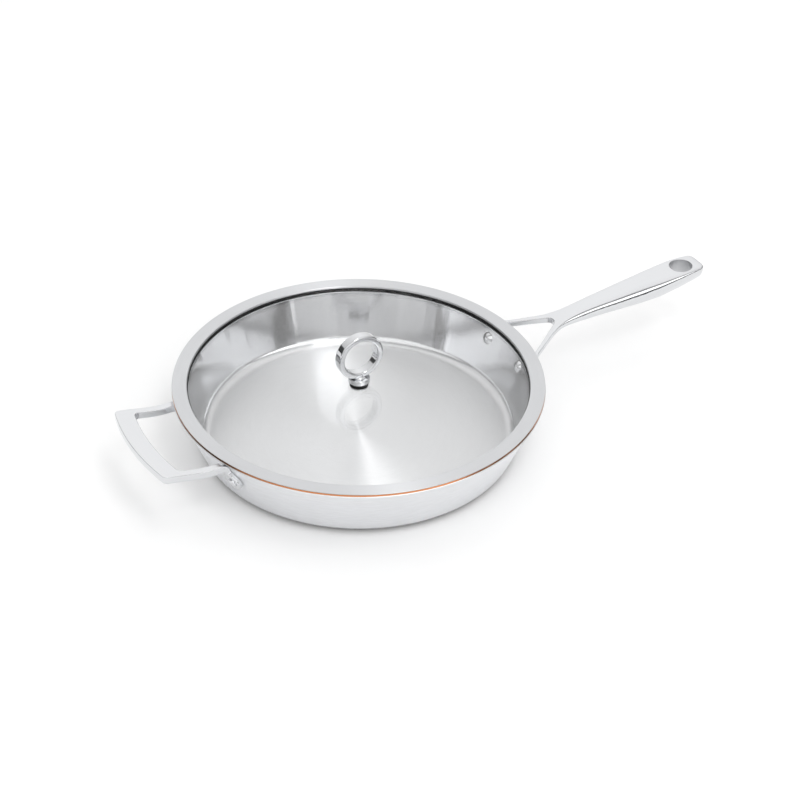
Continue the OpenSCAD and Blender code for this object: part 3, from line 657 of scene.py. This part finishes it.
# Polished on a wheel: small bright highlights, with only a breath of blur
polished = metal("polished_stainless", "#DEDFE1", roughness=0.1, change=0.02, spacing=0.8, stretch=1,
                 depth=0.002, grain="X")
dress(handle_rivets, polished, "pan", "rivet_steel", "long_handle_rivets")

# Helper handle: one casting of stainless steel, a curved bar on two legs with feet that are riveted
# to the wall, for the second hand that lifts a full pan. It is made and finished as the long one.
HELPER_VOXEL = 0.4
helper = cad_copy("helper_handle", "helper_handle_casting")
cast_skin(helper, HELPER_VOXEL)

# Satin on top, with lines along the bar, and polished right up to the edges of its flat top
helper_steel = cast_steel("satin_cast_stainless_helper", "Y", polish=0.09, satin_from=0.93,
                          satin_to=0.995)
dress(helper, helper_steel, "pan", "handle_steel", "helper_handle")

# Rivets of the helper handle: two more of the same polished steel rivets, through the wall and the
# feet of its legs, closed on the outside
HELPER_LEG_Y, HELPER_RIVET_OUT = 45, 1.5
helper_rivets = rivet_pair("helper_handle_rivet_pair", math.pi, HELPER_LEG_Y + HELPER_RIVET_OUT)
bpy.data.objects.remove(rivet)
dress(helper_rivets, polished, "pan", "rivet_steel", "helper_handle_rivets")

# Lid band: a flat ring rolled from stainless steel strip, which lies on the pan's lip. Its inner
# edge is turned down on the seal, and a channel under it is crimped round the edge of the glass.
# The hem is how far the inner edge comes down, and the lap how far the glass reaches under it.
BAND_INSET, BAND_W, BAND_T, BAND_EDGE, BAND_HEM, BAND_LAP = 0.4, 12, 0.6, 1, 1.9, 1.6
GLASS_T, SEAL_T, SEAL_SIDE = 4, 1.2, 0.5
BAND_R, BAND_TOP = PAN_R - BAND_INSET, PAN_H + BAND_T
BAND_IN = BAND_R - BAND_W
HEM_Z = BAND_TOP - BAND_HEM
GLASS_TOP = HEM_Z - SEAL_T
GLASS_LOW, GLASS_R = GLASS_TOP - GLASS_T, BAND_IN + BAND_LAP
SEAL_R, CRIMP_TOP = GLASS_R + SEAL_SIDE, GLASS_LOW - SEAL_SIDE
CHANNEL_R, ROLL = SEAL_R + BAND_T, 0.28
ROLL_STEPS, BEND_STEPS, HEM_STEPS = 4, 8, 6

band = turned("lid_band_steel", [
    (CHANNEL_R, PAN_H), *arc((BAND_R - ROLL, PAN_H + ROLL), ROLL, -90, 0, ROLL_STEPS),
    *arc((BAND_R - ROLL, BAND_TOP - ROLL), ROLL, 0, 90, ROLL_STEPS),
    *arc((BAND_IN + BAND_EDGE, BAND_TOP - BAND_EDGE), BAND_EDGE, 90, 180, BEND_STEPS),
    *arc((BAND_IN + ROLL, HEM_Z + ROLL), ROLL, 180, 360, HEM_STEPS),
    (BAND_IN + BAND_T, PAN_H), (SEAL_R, PAN_H), (SEAL_R, CRIMP_TOP), (BAND_IN, CRIMP_TOP),
    (BAND_IN, CRIMP_TOP - BAND_T), (CHANNEL_R, CRIMP_TOP - BAND_T)])

# Brushed satin all round: it has an even, silky grey that turns lighter and darker round the ring.
# The lines are drawn 0.7 mm apart, coarser than real ones, so that they show.
band_steel = metal("satin_stainless_band", "#D7D8DA", roughness=0.4, change=0.05, spacing=0.7,
                   stretch=6, depth=0.01, anisotropic=0.9)
dress(band, band_steel, "lid", "band_steel", "lid_band")

# Seal: a ring of black silicone, moulded round the edge of the glass and pressed with it into the
# band's channel. A thin round lip of it shows between band and glass.
SEAL_SHOW, SEAL_ROUND, SEAL_STEPS = 0.7, 0.58, 4
SEAL_LIP_R = BAND_IN - SEAL_SHOW + SEAL_ROUND
seal = turned("lid_seal_ring", [
    (GLASS_R, GLASS_TOP),
    *arc((SEAL_LIP_R, GLASS_TOP + SEAL_ROUND), SEAL_ROUND, 270, 180, SEAL_STEPS),
    *arc((SEAL_LIP_R, HEM_Z - SEAL_ROUND), SEAL_ROUND, 180, 90, SEAL_STEPS),
    (SEAL_R, HEM_Z), (SEAL_R, CRIMP_TOP), (BAND_IN, CRIMP_TOP), (BAND_IN, GLASS_LOW),
    (GLASS_R, GLASS_LOW)])

# Moulded silicone is deep black with a soft, slightly uneven sheen. Its grain is drawn at 0.4 mm,
# coarser than the real one, so that it shows.
SILICONE_TONE, SILICONE_IOR, SILICONE_GRAIN, SILICONE_DEPTH = "#161616", 1.43, 0.4, 0.01
SILICONE_SMOOTH, SILICONE_ROUGH, SILICONE_DETAIL = 0.3, 0.46, 2.0
silicone = bpy.data.materials.new("moulded_black_silicone")
tree, out = blank(silicone)
place = add(tree, "TexCoord").outputs["Object"]
grit = add(tree, "TexNoise", {"Vector": place, "Scale": 1 / (SILICONE_GRAIN * MM),
                              "Detail": SILICONE_DETAIL}).outputs[0]
rough = add(tree, "MapRange", {"Value": grit, "To Min": SILICONE_SMOOTH, "To Max": SILICONE_ROUGH})
bump = add(tree, "Bump", {"Strength": 1.0, "Distance": SILICONE_DEPTH * MM, "Height": grit})
shader = add(tree, "BsdfPrincipled", {"Base Color": linear(SILICONE_TONE), "IOR": SILICONE_IOR,
                                      "Roughness": rough.outputs[0], "Normal": bump.outputs[0]})
tree.links.new(shader.outputs[0], out.inputs["Surface"])
dress(seal, silicone, "lid", "seal", "lid_seal")

# Lid glass: a flat disc of soda-lime glass, cut, ground at its edge and drilled for the knob, then
# toughened with heat. The band and its seal hold it by the edge.
HOLE_R, GLASS_BEVEL = 3.7, 0.4
glass = turned("lid_glass_disc", [
    (HOLE_R, GLASS_LOW), (GLASS_R - GLASS_BEVEL, GLASS_LOW), (GLASS_R, GLASS_LOW + GLASS_BEVEL),
    (GLASS_R, GLASS_TOP - GLASS_BEVEL), (GLASS_R - GLASS_BEVEL, GLASS_TOP), (HOLE_R, GLASS_TOP)])

# Clear and colourless: it mirrors knob and room faintly and bends what lies behind it. Light and
# shadow pass it nearly undimmed, so that the pan's inside is lit as through real glass.
GLASS_IOR, GLASS_CLEAR, GLASS_PASSES = 1.52, "#FFFFFF", "#FAFAFA"
clear_glass = bpy.data.materials.new("clear_toughened_glass")
tree, out = blank(clear_glass)
rays = add(tree, "LightPath").outputs
lit = add(tree, "Math", {0: rays["Is Shadow Ray"], 1: rays["Is Diffuse Ray"]}, operation="MAXIMUM")
pane = add(tree, "BsdfPrincipled", {"Base Color": linear(GLASS_CLEAR), "Roughness": 0.0,
                                    "IOR": GLASS_IOR, "Transmission Weight": 1.0})
passing = add(tree, "BsdfTransparent", {"Color": linear(GLASS_PASSES)})
both = add(tree, "MixShader", {0: lit.outputs[0], 1: pane.outputs[0], 2: passing.outputs[0]})
tree.links.new(both.outputs[0], out.inputs["Surface"])
dress(glass, clear_glass, "lid", "lid_glass", "lid_glass")

# Knob gasket: a flat washer of the same black silicone, moulded, which the knob is screwed down on,
# so that no steel touches the glass
SCREW_D, SCREW_GRIP, GASKET_D, GASKET_T, GASKET_ROUND = 5.8, 4.4, 16.4, 1.2, 0.3
WASHER_STEPS, ROUND_STEPS = 96, 4
GASKET_TOP = GLASS_TOP + GASKET_T


def washer(name, outer_d, low, high, round_r):
    """A flat ring round the screw with its outer edges rounded."""
    r = outer_d / 2 - round_r
    return turned(name, [(HOLE_R, low), *arc((r, low + round_r), round_r, -90, 0, ROUND_STEPS),
                         *arc((r, high - round_r), round_r, 0, 90, ROUND_STEPS), (HOLE_R, high)],
                  steps=WASHER_STEPS)


gasket = washer("knob_gasket_ring", GASKET_D, GLASS_TOP, GASKET_TOP, GASKET_ROUND)
dress(gasket, silicone, "lid", "seal", "knob_gasket")

# Knob: an upright finger ring on a short neck and a round foot, one investment casting of stainless
# steel, drilled and tapped from below for its screw
RING_D, RING_HOLE, RING_W, RING_EDGE = 39.5, 29.6, 8.5, 1.4
KNOB_D, KNOB_H, KNOB_EDGE, NECK_R, NECK_ROUND, NECK_H = 17.6, 4.6, 0.8, 4.4, 2.2, 3
KNOB_STEPS, RING_STEPS, EDGE_STEPS, NECK_STEPS = 128, 192, 8, 10
FOOT_TOP, BORE_R, BORE_TOP = GASKET_TOP + KNOB_H, SCREW_D / 2 + GAP, GASKET_TOP + SCREW_GRIP + GAP
knob_edge_r = KNOB_D / 2 - KNOB_EDGE
knob = turned("knob_casting", [
    (0, BORE_TOP), (BORE_R, BORE_TOP), (BORE_R, GASKET_TOP),
    *arc((knob_edge_r, GASKET_TOP + KNOB_EDGE), KNOB_EDGE, -90, 0, EDGE_STEPS),
    *arc((knob_edge_r, FOOT_TOP - KNOB_EDGE), KNOB_EDGE, 0, 90, EDGE_STEPS),
    *arc((NECK_R + NECK_ROUND, FOOT_TOP + NECK_ROUND), NECK_ROUND, 270, 180, NECK_STEPS),
    (NECK_R, FOOT_TOP + NECK_H), (0, FOOT_TOP + NECK_H)], steps=KNOB_STEPS)
low_y, high_y = RING_EDGE - RING_W / 2, RING_W / 2 - RING_EDGE
low_r, high_r = RING_HOLE / 2 + RING_EDGE, RING_D / 2 - RING_EDGE
ring = turned("finger_ring", [
    *arc((high_r, low_y), RING_EDGE, -90, 0, EDGE_STEPS),
    *arc((high_r, high_y), RING_EDGE, 0, 90, EDGE_STEPS),
    *arc((low_r, high_y), RING_EDGE, 90, 180, EDGE_STEPS),
    *arc((low_r, low_y), RING_EDGE, 180, 270, EDGE_STEPS)], steps=RING_STEPS)
ring.matrix_world = (Matrix.Translation((0, 0, (FOOT_TOP + RING_D / 2) * MM))
                     @ Matrix.Rotation(math.pi / 2, 4, "X"))
bpy.ops.object.transform_apply(location=True, rotation=True, scale=True)
cut(knob, ring, "UNION")
smooth(knob)

# Mirror polished: it shows the room sharp, in bright and dark patches, with a faint long ripple
mirror = metal("mirror_polished_stainless", "#D4D5D7", roughness=0.035, change=0.01, spacing=6,
               stretch=1, depth=0.01, grain="X")
dress(knob, mirror, "lid", "knob_steel", "knob")

# Gasket under the glass: a second flat washer of moulded black silicone, between glass and steel
# washer, pressed flat by the screw
WASHER_D, WASHER_T, UNDER_T = 15, 1.2, 1
UNDER_LOW = GLASS_LOW - UNDER_T
under = washer("under_glass_gasket", WASHER_D, UNDER_LOW, GLASS_LOW, GASKET_ROUND)
dress(under, silicone, "lid", "seal", "under_gasket")

# Washer: stamped from stainless steel sheet and polished, it spreads the screw's load over the
# gasket below the glass
WASHER_LOW, WASHER_ROUND = UNDER_LOW - WASHER_T, 0.2
plate = washer("knob_steel_washer", WASHER_D, WASHER_LOW, UNDER_LOW, WASHER_ROUND)
dress(plate, polished, "lid", "rivet_steel", "knob_washer")

# Screw: turned from stainless steel with a low domed head and polished, it goes up through washer,
# gaskets and glass into the knob and holds them all together
SCREW_HEAD_D, SCREW_HEAD_H, SCREW_STEPS = 10, 2.4, 64
SCREW_EDGE, SCREW_TOP = SCREW_HEAD_H * DOME_SHARE, GASKET_TOP + SCREW_GRIP
SCREW_LOW = WASHER_LOW - SCREW_HEAD_H
screw = turned("knob_screw_turned", [
    (0, SCREW_LOW),
    *arc((SCREW_HEAD_D / 2 - SCREW_EDGE, SCREW_LOW + SCREW_EDGE), SCREW_EDGE, -90, 0, EDGE_STEPS),
    (SCREW_HEAD_D / 2, WASHER_LOW), (SCREW_D / 2, WASHER_LOW), (SCREW_D / 2, SCREW_TOP), (0, SCREW_TOP)],
    steps=SCREW_STEPS)
dress(screw, polished, "lid", "rivet_steel", "knob_screw")
